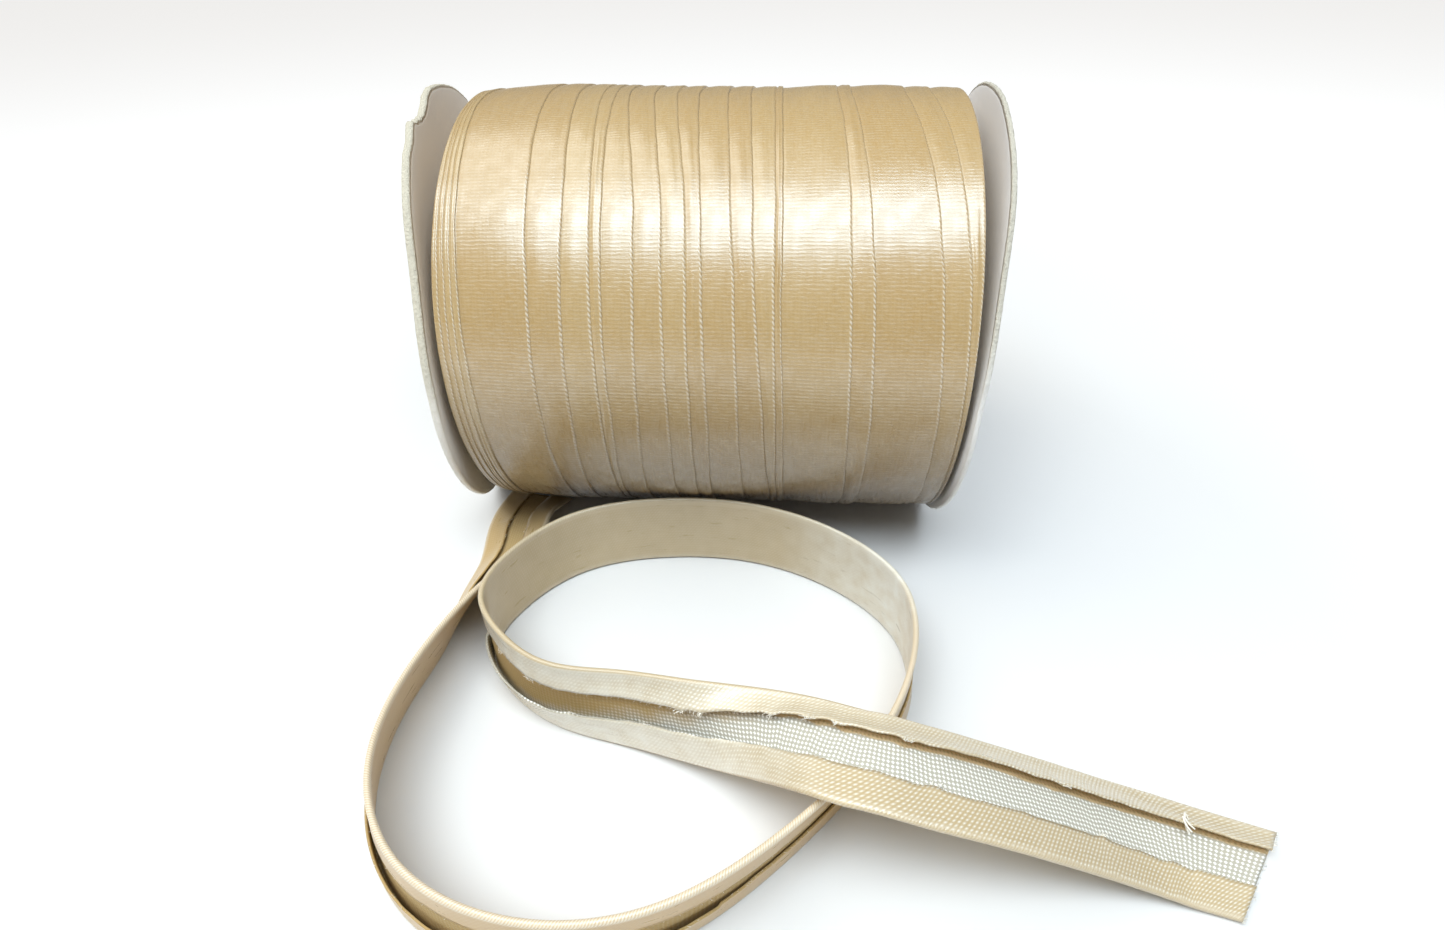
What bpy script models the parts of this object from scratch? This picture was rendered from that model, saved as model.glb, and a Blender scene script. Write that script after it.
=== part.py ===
# A roll of folded satin bias tape between two cardboard end discs, with its loose end
# led out from under the roll, stood on edge in one loop and laid down flat at the end.
# The roll's axis runs along X, the table is z = 0 and the loose end lies towards -Y.
import math
import bpy
import numpy as np
from mathutils import Vector

MM = 0.001

# Folded tape: width over the folds, one cloth layer, space between layers, total depth
TAPE_WIDTH = 15.0
LAYER = 0.5
LAYER_GAP = 0.2
TAPE_DEPTH = 2 * LAYER + LAYER_GAP
RAW_EDGE = 2.6
TAPE_STEP = 3.0
CUT_SKEW = 24
CUT_REACH = 12.0

# Roll
AXIS_HEIGHT = 40.85
ROLL_RADIUS = 40.5
ROLL_LEFT = -39.9
ROLL_RIGHT = 46.8
ROLL_SEGMENTS = 76
FOLD_RISE = 0.3
FOLD_DROP = 0.35
FOLD_EDGE = 0.12
TURN_MIDDLE = 0.55
TURN_RISE = 0.1
SHOULDER_WIDE = 0.4
SHOULDER_DROP = 0.9

# End discs
DISC_LEFT_X = -48.9
DISC_RIGHT_X = 49.1
DISC_LEFT_THICK = 1.6
DISC_RIGHT_THICK = 1.0
DISC_SEGMENTS = 96

# How far the discs lean per mm: towards the front, the back, up and down
LEFT_LEAN_FRONT = 0.188
LEFT_LEAN_BACK = 0.09
LEFT_LEAN_UP = 0.02
RIGHT_LEAN_BACK = 0.03
RIGHT_LEAN_UP = 0.055
RIGHT_LEAN_DOWN = 0.02

# Fold lines on the roll where one turn lies over the next: x on top, x in front
FOLD_LINES = [
    (-39.4, -38.4),
    (-38.8, -37.2),
    (-38.1, -36.0),
    (-37.4, -34.7),
    (-25.4, -23.8),
    (-20.0, -18.6),
    (-15.8, -13.7),
    (-13.4, -12.0),
    (-10.6, -7.2),
    (-6.4, -2.3),
    (1.5, 4.2),
    (6.2, 9.3),
    (10.0, 13.2),
    (14.0, 15.7),
    (15.4, 16.9),
    (25.2, 27.6),
    (27.2, 31.4),
    (36.6, 42.4),
    (41.2, 46.0),
]

# How full the roll is along its length: x, added radius
FULLNESS = [(-40, -0.6), (-36, 0.1), (-24, 0.6), (-8, 0.2), (14, -0.1), (30, 0.1), (48, -0.5)]

# The roll's ends step down and in: x, radius
LEFT_END = [(-40.6, 37.6), (-41.3, 34.0), (-42.4, 27.5), (-44.0, 14.0)]
RIGHT_END = [(47.05, 38.0), (47.05, 14.0)]

# Rims of the end discs, out of round, the left one torn near its top:
# degrees up from the front, radius
LEFT_RIM = [
    (-90, 41.0),
    (-50, 41.1),
    (-10, 42.2),
    (5, 41.4),
    (28, 40.1),
    (50, 41.9),
    (57, 42.1),
    (63, 41.4),
    (67.5, 42.1),
    (71, 40.7),
    (75, 39.6),
    (79, 39.2),
    (82.5, 39.6),
    (87, 40.6),
    (92, 41.1),
    (115, 41.3),
    (180, 41.0),
    (235, 41.0),
]
RIGHT_RIM = [
    (-90, 41.0),
    (-50, 41.1),
    (-10, 42.2),
    (5, 41.4),
    (28, 40.1),
    (50, 41.9),
    (75, 41.1),
    (92, 40.8),
    (115, 41.3),
    (180, 41.0),
    (235, 41.0),
]

# Route of the loose tape, a row per bend. x and y: middle of the tape. lift: its lowest
# line over the table. tilt: 0 lies flat with the folded edges up, 90 stands on edge.
# width: across the folds. rim_open and foot_open: how far each folded edge stands off.
ROUTE = [
    # x, y, lift, tilt, width, rim_open, foot_open
    (-36.5, -15.5, 0.0, 3, 15.0, 0.0, 0.0),
    (-38.0, -24.5, 0.2, 14, 15.0, 0.0, 0.2),
    (-37.0, -38.0, 0.0, 28, 15.0, 0.0, 0.4),
    (-38.7, -48.0, 0.0, 43, 15.0, 0.0, 0.3),
    (-39.5, -57.5, 0.0, 60, 15.0, 0.0, 0.0),
    (-42.0, -72.0, 0.0, 68, 15.0, 0.0, 0.0),
    (-40.2, -91.0, 0.0, 76, 15.0, 0.0, 0.3),
    (-30.5, -103.6, 0.0, 84, 15.0, 0.0, 0.5),
    (-15.5, -109.2, 0.0, 90, 15.0, 0.0, 0.5),
    (2.0, -106.8, 0.0, 96, 15.0, 0.0, 0.3),
    (17.0, -96.8, 0.0, 99, 15.0, 0.0, 0.0),
    (30.0, -83.0, 0.0, 98, 15.0, 0.0, 0.0),
    (38.5, -67.5, 0.0, 88, 15.0, 0.0, 0.0),
    (38.5, -53.0, 0.0, 88, 15.0, 0.0, 0.0),
    (28.5, -41.0, 0.0, 90, 15.0, 0.0, 0.0),
    (12.0, -33.7, 0.0, 91, 15.0, 0.0, 0.0),
    (-6.0, -33.1, 0.0, 92, 15.0, 0.0, 0.0),
    (-22.0, -38.3, 0.0, 92, 15.0, 0.0, 0.0),
    (-31.0, -48.5, 0.0, 91, 15.0, 0.0, 0.0),
    (-33.4, -59.0, 0.0, 89, 15.0, 0.0, 0.0),
    (-28.0, -67.2, 0.0, 88, 15.0, 0.1, 1.3),
    (-18.0, -73.6, 0.1, 87, 15.0, 0.4, 1.5),
    (-7.0, -75.5, 0.3, 79, 15.0, 0.4, 0.7),
    (4.0, -78.5, 3.0, 71, 14.6, 0.4, 0.3),
    (15.0, -82.3, 9.8, 38, 12.6, 0.5, 0.1),
    (26.0, -87.8, 17.4, 2, 14.3, 0.5, 0.1),
    (37.0, -89.8, 16.8, 0, 14.7, 0.5, 0.1),
    (48.0, -89.6, 12.5, 0, 15.0, 0.5, 0.1),
    (59.0, -88.9, 6.7, 2, 15.0, 0.5, 0.1),
    (70.0, -88.7, 1.5, 2, 15.0, 0.5, 0.2),
    (83.3, -91.5, 0.0, 0, 14.8, 0.3, 0.3),
]


def clear_scene():
    for obj in list(bpy.data.objects):
        bpy.data.objects.remove(obj, do_unlink=True)


def make_material(name, color, roughness):
    material = bpy.data.materials.new(name)
    material.use_nodes = True
    shader = material.node_tree.nodes["Principled BSDF"]
    shader.inputs["Base Color"].default_value = (*color, 1.0)
    shader.inputs["Roughness"].default_value = roughness
    return material


def add_solid(name, points, faces, material):
    mesh = bpy.data.meshes.new(name)
    mesh.from_pydata([(p[0] * MM, p[1] * MM, p[2] * MM) for p in points], [], faces)
    mesh.validate()
    obj = bpy.data.objects.new(name, mesh)
    bpy.context.scene.collection.objects.link(obj)
    mesh.materials.append(material)
    bpy.context.view_layer.objects.active = obj
    obj.select_set(True)
    bpy.ops.object.shade_smooth_by_angle(angle=math.radians(32))
    obj.select_set(False)
    return obj


def strip_faces(rows, across):
    # Quads between neighbouring closed rings of the same point count
    faces = []
    for i in range(rows - 1):
        for j in range(across):
            a = i * across + j
            b = i * across + (j + 1) % across
            faces.append((a, b, b + across, a + across))
    return faces


def spline(knots, values, places):
    # Natural cubic curve through the table's rows
    count = len(knots)
    gaps = np.diff(knots)
    matrix = np.eye(count)
    right = np.zeros(count)
    for i in range(1, count - 1):
        matrix[i, i - 1 : i + 2] = gaps[i - 1], 2 * (gaps[i - 1] + gaps[i]), gaps[i]
        right[i] = 6 * ((values[i + 1] - values[i]) / gaps[i] - (values[i] - values[i - 1]) / gaps[i - 1])
    bend = np.linalg.solve(matrix, right)
    at = np.clip(np.searchsorted(knots, places) - 1, 0, count - 2)
    before = places - knots[at]
    after = knots[at + 1] - places
    gap = gaps[at]
    curve = (bend[at] * after**3 + bend[at + 1] * before**3) / (6 * gap)
    curve += (values[at] / gap - bend[at] * gap / 6) * after
    curve += (values[at + 1] / gap - bend[at + 1] * gap / 6) * before
    return curve


def fullness(x):
    places, added = zip(*FULLNESS)
    return float(np.interp(x, places, added))


def tape_section(width, rim_open, foot_open):
    # Web below, the two folded edges above it, a narrow space between: (across, depth)
    half = width / 2
    low = -TAPE_DEPTH / 2
    high = TAPE_DEPTH / 2
    web = low + LAYER
    flap = high - LAYER
    raw = RAW_EDGE * width / TAPE_WIDTH
    inner = half - LAYER
    corner = 0.3
    return [
        (-half + corner, low),
        (0.0, low),
        (half - corner, low),
        (half, low + corner),
        (half, high - corner),
        (half - corner, high),
        (raw, high + rim_open),
        (raw, flap + rim_open),
        (inner - 0.15, flap),
        (inner, 0.0),
        (inner - 0.15, web),
        (-inner + 0.15, web),
        (-inner, 0.0),
        (-inner + 0.15, flap),
        (-raw, flap + foot_open),
        (-raw, high + foot_open),
        (-half + corner, high),
        (-half, high - corner),
        (-half, low + corner),
    ]


def loose_tape(material):
    table = np.array(ROUTE, dtype=float)
    steps = np.linalg.norm(np.diff(table[:, :2], axis=0), axis=1)
    knots = np.concatenate([[0.0], np.cumsum(steps)])
    count = int(knots[-1] / TAPE_STEP) + 1
    places = np.linspace(0.0, knots[-1], count)
    x, y, lift, tilt, width, rim_open, foot_open = (
        spline(knots, table[:, column], places) for column in range(7)
    )
    lift = np.maximum(lift, 0.0)
    rim_open = np.maximum(rim_open, 0.0)
    foot_open = np.maximum(foot_open, 0.0)
    points = []
    across = 0
    for i in range(count):
        before = max(i - 1, 0)
        after = min(i + 1, count - 1)
        along = Vector((x[after] - x[before], y[after] - y[before], lift[after] - lift[before]))
        along.normalize()
        left = Vector((-along.y, along.x, 0.0)).normalized()
        up = along.cross(left)
        lean = math.radians(tilt[i])
        side = math.cos(lean) * left + math.sin(lean) * up
        back = along.cross(side)
        near_end = max(0.0, 1 - (places[-1] - places[i]) / CUT_REACH)
        skew = math.tan(math.radians(CUT_SKEW)) * near_end
        section = tape_section(width[i], rim_open[i], foot_open[i])
        ring = [(side + along * skew) * u + back * v for u, v in section]
        raise_by = lift[i] - min(p.z for p in ring)
        middle = Vector((x[i], y[i], raise_by))
        points += [middle + p for p in ring]
        across = len(ring)
    faces = strip_faces(count, across)
    faces.append(tuple(reversed(range(across))))
    faces.append(tuple(range((count - 1) * across, count * across)))
    return add_solid("loose_tape", points, faces, material)


def fold_line_x(line, angle):
    # The turns run a little askew over the top of the roll
    top, front = line
    over = math.sin(angle) ** 2 if 0.0 < angle < math.pi else 0.0
    return front + (top - front) * over


def roll_profile(angle):
    # Each turn rises to its fold, then drops onto the next turn
    profile = [(ROLL_LEFT - SHOULDER_WIDE, ROLL_RADIUS - SHOULDER_DROP), (ROLL_LEFT, ROLL_RADIUS)]
    start = ROLL_LEFT
    lines = [fold_line_x(line, angle) for line in FOLD_LINES]
    for fold in lines:
        span = fold - start
        profile.append((start + TURN_MIDDLE * span, ROLL_RADIUS + TURN_RISE))
        profile.append((fold - FOLD_EDGE, ROLL_RADIUS + FOLD_RISE))
        profile.append((fold + FOLD_EDGE, ROLL_RADIUS - FOLD_DROP))
        start = fold
    profile.append((ROLL_RIGHT - SHOULDER_WIDE, ROLL_RADIUS - TURN_RISE))
    profile.append((ROLL_RIGHT, ROLL_RADIUS - FOLD_DROP))
    return list(reversed(LEFT_END)) + profile + RIGHT_END


def wound_tape(material):
    points = []
    across = 0
    for i in range(ROLL_SEGMENTS):
        angle = math.tau * i / ROLL_SEGMENTS
        if angle > 1.5 * math.pi:
            angle -= math.tau
        ring = roll_profile(angle)
        across = len(ring)
        for x, radius in ring:
            radius += fullness(x)
            height = max(AXIS_HEIGHT + radius * math.sin(angle), 0.0)
            points.append((x, -radius * math.cos(angle), height))
    faces = []
    for i in range(ROLL_SEGMENTS):
        after = (i + 1) % ROLL_SEGMENTS
        for j in range(across - 1):
            faces.append((i * across + j, i * across + j + 1, after * across + j + 1, after * across + j))
    faces.append(tuple(i * across for i in range(ROLL_SEGMENTS)))
    faces.append(tuple(i * across + across - 1 for i in reversed(range(ROLL_SEGMENTS))))
    return add_solid("wound_tape", points, faces, material)


def rim_radius(rim, degrees):
    table = np.array(rim + [(rim[0][0] + 360, rim[0][1])], dtype=float)
    place = (degrees + 90.0) % 360.0 - 90.0
    at = int(np.clip(np.searchsorted(table[:, 0], place, side="right") - 1, 0, len(table) - 2))
    part = (place - table[at, 0]) / (table[at + 1, 0] - table[at, 0])
    part = part * part * (3 - 2 * part)
    return table[at, 1] * (1 - part) + table[at + 1, 1] * part


def left_face_x(y, z):
    # The left disc is bent: its front half leans in against the roll
    lean = -LEFT_LEAN_FRONT * y if y < 0 else -LEFT_LEAN_BACK * y
    return DISC_LEFT_X + lean + LEFT_LEAN_UP * (z - AXIS_HEIGHT)


def right_face_x(y, z):
    rise = z - AXIS_HEIGHT
    lean = RIGHT_LEAN_UP * rise if rise > 0 else RIGHT_LEAN_DOWN * rise
    return DISC_RIGHT_X + RIGHT_LEAN_BACK * y + lean


def end_disc(name, rim, face_x, thick, material):
    # Rings from the middle out, inner face then outer face; flat where it stands
    shares = (0.34, 0.67, 0.985)
    points = []
    radii = [rim_radius(rim, 360.0 * i / DISC_SEGMENTS - 90.0) for i in range(DISC_SEGMENTS)]

    def ring(share, offset):
        first = len(points)
        for i, radius in enumerate(radii):
            angle = math.tau * i / DISC_SEGMENTS - math.pi / 2
            y = -radius * share * math.cos(angle)
            z = max(AXIS_HEIGHT + radius * share * math.sin(angle), 0.0)
            points.append((face_x(y, z) + offset, y, z))
        return first

    inner = [ring(share, 0.0) for share in shares]
    edge = [ring(1.0, thick * 0.2), ring(1.0, thick * 0.8)]
    outer = [ring(share, thick) for share in reversed(shares)]
    order = inner + edge + outer
    faces = []
    for a, b in zip(order, order[1:]):
        for i in range(DISC_SEGMENTS):
            after = (i + 1) % DISC_SEGMENTS
            faces.append((a + i, a + after, b + after, b + i))
    points.append((face_x(0.0, AXIS_HEIGHT), 0.0, AXIS_HEIGHT))
    points.append((face_x(0.0, AXIS_HEIGHT) + thick, 0.0, AXIS_HEIGHT))
    for i in range(DISC_SEGMENTS):
        after = (i + 1) % DISC_SEGMENTS
        faces.append((len(points) - 2, order[0] + after, order[0] + i))
        faces.append((len(points) - 1, order[-1] + i, order[-1] + after))
    return add_solid(name, points, faces, material)


def face_outwards(obj):
    mesh = obj.data
    mesh.calc_loop_triangles()
    volume = 0.0
    for tri in mesh.loop_triangles:
        a, b, c = (mesh.vertices[v].co for v in tri.vertices)
        volume += a.dot(b.cross(c))
    if volume < 0:
        mesh.flip_normals()


def centre_on_origin(objects):
    # The origin is the middle of the footprint, on the table
    corners = [v.co for obj in objects for v in obj.data.vertices]
    mid_x = (min(c.x for c in corners) + max(c.x for c in corners)) / 2
    mid_y = (min(c.y for c in corners) + max(c.y for c in corners)) / 2
    for obj in objects:
        for vertex in obj.data.vertices:
            vertex.co.x -= mid_x
            vertex.co.y -= mid_y
    print("roll middle in the frame, mm:", round(-mid_x / MM, 3), round(-mid_y / MM, 3))


clear_scene()
satin = make_material("satin", (0.79, 0.64, 0.44), 0.35)
card = make_material("card", (0.78, 0.77, 0.76), 0.85)
built = [
    wound_tape(satin),
    loose_tape(satin.copy()),
    end_disc("end_disc_left", LEFT_RIM, left_face_x, -DISC_LEFT_THICK, card),
    end_disc("end_disc_right", RIGHT_RIM, right_face_x, DISC_RIGHT_THICK, card.copy()),
]
for part in built:
    face_outwards(part)
centre_on_origin(built)
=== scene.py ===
import bmesh
import bpy
import math
import numpy as np
from mathutils import Matrix, Vector


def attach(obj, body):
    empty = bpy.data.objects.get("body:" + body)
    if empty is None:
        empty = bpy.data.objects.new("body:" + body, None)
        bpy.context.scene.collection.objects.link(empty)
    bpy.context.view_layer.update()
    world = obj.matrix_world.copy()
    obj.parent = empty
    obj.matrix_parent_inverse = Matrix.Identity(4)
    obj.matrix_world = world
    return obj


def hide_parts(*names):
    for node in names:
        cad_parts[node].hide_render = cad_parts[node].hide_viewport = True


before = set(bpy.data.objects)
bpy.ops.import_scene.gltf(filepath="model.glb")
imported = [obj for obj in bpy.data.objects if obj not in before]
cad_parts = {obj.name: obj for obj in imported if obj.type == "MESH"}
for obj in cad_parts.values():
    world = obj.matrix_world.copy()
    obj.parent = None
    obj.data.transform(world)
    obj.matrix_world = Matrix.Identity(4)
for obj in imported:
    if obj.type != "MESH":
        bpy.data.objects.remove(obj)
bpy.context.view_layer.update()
mm = 0.001
rollX, rollY = -17.103, 34.517  # the roll's middle in the frame, mm

look = {
    # the camera, fitted to the photo
    "eye": (-0.898, -111.693, 108.135),
    "right": (0.99702, 0.07482, -0.0187),
    "up": (-0.02967, 0.59596, 0.80244),
    "ahead": (-0.0712, 0.7995, -0.5964),
    "lens": 18.92,
    # the lights
    "keyPlace": (-0.01, -0.21, 0.575),
    "keyAim": 0.03,
    "keyPower": 4.0,
    "keySize": (0.60, 0.29),
    "keyTurn": 14,
    "keyTint": (0.81, 0.92, 1.0),
    "sunPower": 1.35,
    "sunAngle": 50,
    "sunFrom": (-0.50, 0.05, 0.86),
    "sunTint": (1.0, 0.955, 0.87),
    "world": 0.24,
    "worldTint": (1.0, 0.95, 0.88),
}


def addObject(name, data):
    obj = bpy.data.objects.new(name, data)
    bpy.context.scene.collection.objects.link(obj)
    return obj


def makeCamera():
    camera = bpy.data.cameras.new("camera")
    camera.lens = look["lens"]
    camera.sensor_width = 36
    camera.clip_start = 0.005
    obj = addObject("camera", camera)
    columns = [Vector(look["right"]), Vector(look["up"]), -Vector(look["ahead"])]
    turn = Matrix(columns).transposed().to_4x4()
    obj.matrix_world = Matrix.Translation(Vector(look["eye"]) * mm) @ turn
    bpy.context.scene.camera = obj


def addNode(tree, kind, settings=None, inputs=None):
    # The settings go on first, then the values or links of the sockets
    node = tree.nodes.new(kind)
    for key, value in (settings or {}).items():
        setattr(node, key, value)
    for key, value in (inputs or {}).items():
        if isinstance(value, Wire):
            tree.links.new(value.socket, node.inputs[key])
        else:
            node.inputs[key].default_value = value
    return node


class Wire:
    # One output socket; arithmetic on it adds Math nodes
    def __init__(self, tree, socket):
        self.tree = tree
        self.socket = socket

    def math(self, operation, *others, flip=False):
        values = [self, *others]
        if flip:
            values.reverse()
        node = addNode(self.tree, "ShaderNodeMath", {"operation": operation}, dict(enumerate(values)))
        return Wire(self.tree, node.outputs[0])

    def __add__(self, other):
        return self.math("ADD", other)

    def __radd__(self, other):
        return self.math("ADD", other, flip=True)

    def __sub__(self, other):
        return self.math("SUBTRACT", other)

    def __rsub__(self, other):
        return self.math("SUBTRACT", other, flip=True)

    def __mul__(self, other):
        return self.math("MULTIPLY", other)

    def __rmul__(self, other):
        return self.math("MULTIPLY", other, flip=True)

    def __truediv__(self, other):
        return self.math("DIVIDE", other)

    def __pow__(self, other):
        return self.math("POWER", other)

    def __abs__(self):
        return self.math("ABSOLUTE")

    def sin(self):
        return self.math("SINE")

    def low(self, other):
        return self.math("MINIMUM", other)

    def high(self, other):
        return self.math("MAXIMUM", other)

    def clip(self):
        return self.low(1).high(0)

    def wave(self, pitch):
        # from 0 to 1 and back, once in each pitch
        return (self * (math.tau / pitch)).sin() * 0.5 + 0.5


class Finish:
    # A material and its nodes
    def __init__(self, name):
        self.material = bpy.data.materials.new(name)
        self.material.use_nodes = True
        self.tree = self.material.node_tree
        self.shader = self.tree.nodes["Principled BSDF"]

    def add(self, kind, settings=None, inputs=None, out=0):
        return Wire(self.tree, addNode(self.tree, kind, settings, inputs).outputs[out])

    def mix(self, factor, first, second):
        colours = {6: first, 7: second}
        colours = {k: v if isinstance(v, Wire) else (*v, 1) for k, v in colours.items()}
        return self.add("ShaderNodeMix", {"data_type": "RGBA"}, {0: factor, **colours}, out=2)

    def noise(self, where, scale, detail=2.0, rough=0.5):
        return self.add("ShaderNodeTexNoise", {},
                        {"Vector": where, "Scale": scale, "Detail": detail, "Roughness": rough})

    def stretched(self, where, scale):
        return self.add("ShaderNodeMapping", {}, {"Vector": where, "Scale": scale})

    def reading(self, name):
        return self.add("ShaderNodeAttribute", {"attribute_name": name}, out=2)

    def objectPlace(self):
        return self.add("ShaderNodeTexCoord", {}, out=3)

    def height(self, where):
        return self.add("ShaderNodeSeparateXYZ", {}, {0: where}, out=2)

    def set(self, **values):
        for name, value in values.items():
            socket = self.shader.inputs[name.replace("_", " ")]
            if isinstance(value, Wire):
                self.tree.links.new(value.socket, socket)
            else:
                socket.default_value = value

    def bump(self, height, depth):
        # depth is what a height of 1 stands for, in metres
        self.set(Normal=self.add("ShaderNodeBump", {}, {"Height": height, "Strength": 1.0,
                                                        "Distance": depth}))


satin = {
    "pitch": 0.45,  # one thread to the next, mm
    "rowPitch": 0.62,
    "dashPitch": 0.64,
    "dashSlant": 0.8,
    "ropeSlant": 0.9,
    "blotchScale": 0.35,
    "cloudScale": 0.06,
    "streakScale": 0.9,
    "streakStretch": (1.0, 0.16, 1.0),
    "dashStretch": (0.9, 2.6, 1.0),
    "rough": 0.30,
    "coatRough": 0.31,
    "relief": 0.000012,
    # painted sheen colour that the pale mark mixes in
    "paintedSheenColour": (0.82, 0.81, 0.73),
    # near-white twill of a folded edge, partly a painted highlight
    "foldThreadAndGlint": (0.98, 0.93, 0.82),
    # turned is painted shade: a darker colour towards the table on the roll, and a deeper golden colour
    # where the loose tape stands in shade at the loop's left and near side; dulls how much sheen that
    # takes off; rope is the twill along a folded edge, partly a painted highlight
    "wound": {
        "pale": (0.50, 0.345, 0.145),
        "deep": (0.42, 0.25, 0.08),
        "turned": (0.12, 0.07, 0.022),
        "dulls": 0.85,
        "tick": 0.20,
        "thread": (0.93, 0.86, 0.72),
        "level": 0.85,
        "tint": (0.68, 0.87, 1.0, 1.0),
        "coat": 2.1,
        "rope": 0.55,
        "ropePitch": 0.85,
        "ropeLift": 5.0,
        "streak": 0.4,
        "weave": 2.2,
    },
    "loose": {
        "pale": (0.66, 0.49, 0.25),
        "deep": (0.42, 0.31, 0.15),
        "turned": (0.60, 0.375, 0.125),
        "dulls": 1.0,
        "tick": 0.9,
        "thread": (0.93, 0.90, 0.80),
        "level": 0.9,
        "tint": (0.84, 0.93, 1.0, 1.0),
        "coat": 1.5,
        "rope": 0.75,
        "ropePitch": 0.4,
        "ropeLift": 2.5,
        "streak": 0.1,
        "weave": 2.5,
    },
}


def clothGrid(finish):
    # The weave lies on the bias: both threads run at 45 degrees to the tape.
    # ticks is 1 in the middle of each raised thread.
    uv = finish.add("ShaderNodeUVMap", {"uv_map": "cloth"})
    across, along = (finish.add("ShaderNodeSeparateXYZ", {}, {0: uv}, out) for out in (0, 1))
    reach = satin["pitch"] * math.sqrt(2)
    warp = ((across + along) * (math.pi / reach)).sin()
    weft = ((across - along) * (math.pi / reach)).sin()
    ticks = ((warp * weft).high(0.0) * 1.15 / (abs(weft) + 0.15)).low(1.0)
    return uv, across, along, ticks


def satinFinish(name, kind):
    # kind picks the wound or the loose tape's values in satin
    values = satin[kind]
    finish = Finish(name)
    uv, across, along, ticks = clothGrid(finish)
    lip = finish.reading("lip")
    ropes = (along + across * satin["ropeSlant"]).wave(values["ropePitch"])
    blotch = finish.noise(uv, satin["blotchScale"], 3.0)
    cloud = finish.noise(uv, satin["cloudScale"], 2.0)
    streak = finish.noise(finish.stretched(uv, satin["streakStretch"]), satin["streakScale"], 3.0, 0.6)
    if kind == "loose":
        # on the satin side the threads show as short slanting dashes, one row beside the next
        slant = (along + across * satin["dashSlant"]).wave(satin["dashPitch"])
        rows = across.wave(satin["rowPitch"])
        ticks = (slant * (0.25 + 0.75 * rows)) ** 1.4 * finish.reading("weave")
        # painted shade: the deeper golden colour, with less sheen, where the tape stands in shade
        turned = finish.reading("shadedGold")
        edge = lip * (0.4 + 0.6 * ropes) * (0.35 + 0.65 * turned)
    else:
        # pulled tight round the roll the weave closes up into short level dashes
        dashes = finish.noise(finish.stretched(uv, satin["dashStretch"]), 1.0, 2.0)
        rows = (along + blotch * 0.5).wave(satin["rowPitch"])
        ticks = rows * (dashes * 3.0 - 0.9).clip() * 0.8 + ticks * 0.2
        # painted shade: the roll's colour darkens towards the table
        turned = (1.2 - finish.height(finish.objectPlace()) * 24).clip()
        edge = lip * ropes
    # tone: random per turn on the roll; on the loose tape's satin side painted light and shade along
    # the loop
    tone = finish.reading("tone")
    shade = (streak * values["streak"] + blotch * 0.25 + cloud * 0.35 + tone * 0.35 - 0.1).clip()
    base = finish.mix(turned, finish.mix(shade, values["deep"], values["pale"]), values["turned"])
    # painted sheen: the pale mark lightens the satin side towards near-white
    paintedSheen = finish.mix((finish.reading("pale") * (0.3 + 1.0 * blotch)).low(1), base, satin["paintedSheenColour"])
    threads = finish.mix(ticks * values["tick"], paintedSheen, values["thread"])
    sheen = 0.3 + 0.7 * ((blotch - 0.4) * 3).clip() * (0.35 + 0.65 * ticks)
    sheen = sheen * (1 - values["dulls"] * turned)
    finish.set(Base_Color=finish.mix(edge * values["rope"], threads, satin["foldThreadAndGlint"]),
               Roughness=satin["rough"] + 0.16 * (streak - 0.5) - 0.06 * ticks,
               Specular_IOR_Level=values["level"], Specular_Tint=values["tint"],
               Coat_Weight=sheen.low(1), Coat_Roughness=satin["coatRough"], Coat_IOR=values["coat"])
    relief = ticks * (1 - lip) * values["weave"] + lip * ropes * values["ropeLift"]
    finish.bump(relief + streak * values["streak"] * 5.0, satin["relief"])
    return finish.material


def clothMesh(name, points, faces, uv, marks):
    # points and uv are in mm, marks are the values at the points that the finishes read
    mesh = bpy.data.meshes.new(name)
    mesh.from_pydata([tuple(p) for p in np.asarray(points) * mm], [], faces)
    layer = mesh.uv_layers.new(name="cloth")
    layer.data.foreach_set("uv", [c for face in uv for corner in face for c in corner])
    for key, values in marks.items():
        mesh.attributes.new(key, "FLOAT", "POINT").data.foreach_set("value", values)
    mesh.shade_smooth()
    return addObject(name, mesh)


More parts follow.
